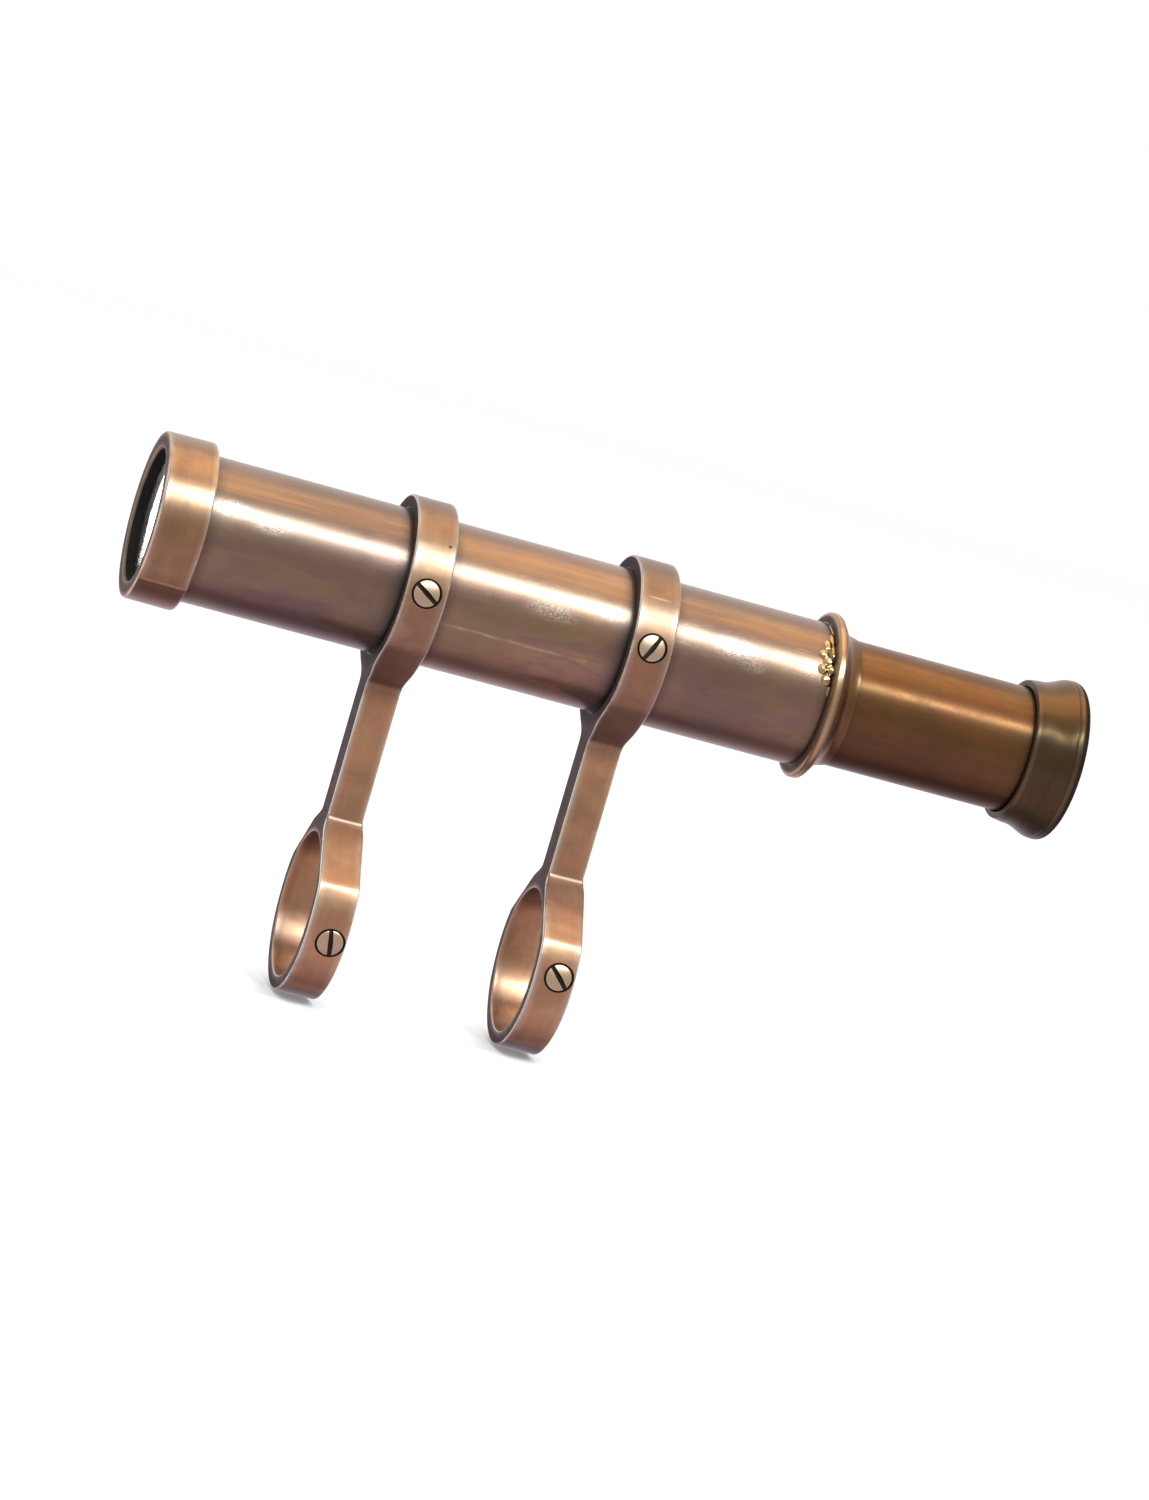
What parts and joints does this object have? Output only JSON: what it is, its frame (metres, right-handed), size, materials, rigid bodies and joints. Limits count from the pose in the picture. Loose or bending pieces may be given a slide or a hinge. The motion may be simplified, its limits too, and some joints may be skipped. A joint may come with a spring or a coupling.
{
  "type": "finder scope",
  "caption": "Small drawn-tube brass finder telescope held above a larger tube by cast double-ring brackets with slotted clamp screws.",
  "frame": {"origin": "centre of the front bracket's lower ring, on the host tube's axis", "axes": "+X along the light path from the objective to the eye end, +Z from the host tube up to the finder, screws on the -Y side"},
  "size_m": [0.2403, 0.0445, 0.1263],
  "materials": {
    "cell_brass": "satin, aged, bright at the edges",
    "tube_brass": "drawn and antiqued, brown with lengthwise streaks",
    "collar_brass": "satin, aged, gold braze at the joint",
    "draw_tube_brass": "drawn, warm orange brown",
    "eyecup_brass": "turned, olive brown with greenish highlights",
    "casting_brass": "cast and filed, satin, bright at the edges",
    "screw_brass": "bright, with dark slots",
    "inner_brass": "plain turned",
    "blackened_brass": "blackened matt",
    "foil": "thin foil",
    "lens_glass": "polished",
    "lining_cloth": "felted",
    "wire": "fine drawn wire"
  },
  "bodies": {
    "front_bracket": {"front_bracket": "casting_brass"},
    "rear_bracket": {"rear_bracket": "casting_brass"},
    "finder_tube": {"objective_cell": "cell_brass", "crown_lens": "lens_glass", "flint_lens": "lens_glass", "lens_spacer_ring": "foil", "objective_retaining_ring": "blackened_brass", "main_tube": "tube_brass", "baffle_ring": "blackened_brass", "rear_collar": "collar_brass", "guide_lining": "lining_cloth"},
    "draw_tube": {"draw_tube": "draw_tube_brass", "draw_tube_stop_ring": "inner_brass", "reticle_ring": "blackened_brass", "crosswires": "wire"},
    "eyepiece": {"eyepiece_tube": "inner_brass", "field_lens": "lens_glass", "field_lens_retaining_ring": "inner_brass", "eye_lens": "lens_glass", "eye_lens_retaining_ring": "inner_brass", "eyecup": "eyecup_brass"},
    "upper_front_screw": {"upper_front_screw": "screw_brass"},
    "upper_rear_screw": {"upper_rear_screw": "screw_brass"},
    "lower_front_screw": {"lower_front_screw": "screw_brass"},
    "lower_rear_screw": {"lower_rear_screw": "screw_brass"}
  },
  "joints": [
    {"name": "finder_slide", "type": "slide", "parent": "front_bracket", "child": "finder_tube", "axis": [1, 0, 0], "range_m": [-0.0373, 0.0498]},
    {"name": "rear_bracket_slide", "type": "slide", "parent": "front_bracket", "child": "rear_bracket", "axis": [1, 0, 0], "range_m": [-0.046, 0.0363]},
    {"name": "focus_slide", "type": "slide", "parent": "finder_tube", "child": "draw_tube", "axis": [1, 0, 0], "range_m": [-0.0466, 0.0165]},
    {"name": "eyepiece_turn", "type": "hinge", "parent": "draw_tube", "child": "eyepiece", "pos_m": [0.15, 0, 0.0825], "axis": [1, 0, 0], "range_deg": [0, 720]},
    {"name": "upper_front_screw_turn", "type": "hinge", "parent": "front_bracket", "child": "upper_front_screw", "pos_m": [0, 0, 0.0825], "axis": [0, -0.9986, 0.0523], "range_deg": [0, 720]},
    {"name": "upper_rear_screw_turn", "type": "hinge", "parent": "rear_bracket", "child": "upper_rear_screw", "pos_m": [0.0575, 0, 0.0825], "axis": [0, -0.9925, 0.1219], "range_deg": [0, 720]},
    {"name": "lower_front_screw_turn", "type": "hinge", "parent": "front_bracket", "child": "lower_front_screw", "pos_m": [0.0012, 0, 0], "axis": [0, -0.9799, -0.1994], "range_deg": [0, 720]},
    {"name": "lower_rear_screw_turn", "type": "hinge", "parent": "rear_bracket", "child": "lower_rear_screw", "pos_m": [0.0584, 0, 0], "axis": [0, -0.9981, 0.061], "range_deg": [0, 720]}
  ]
}
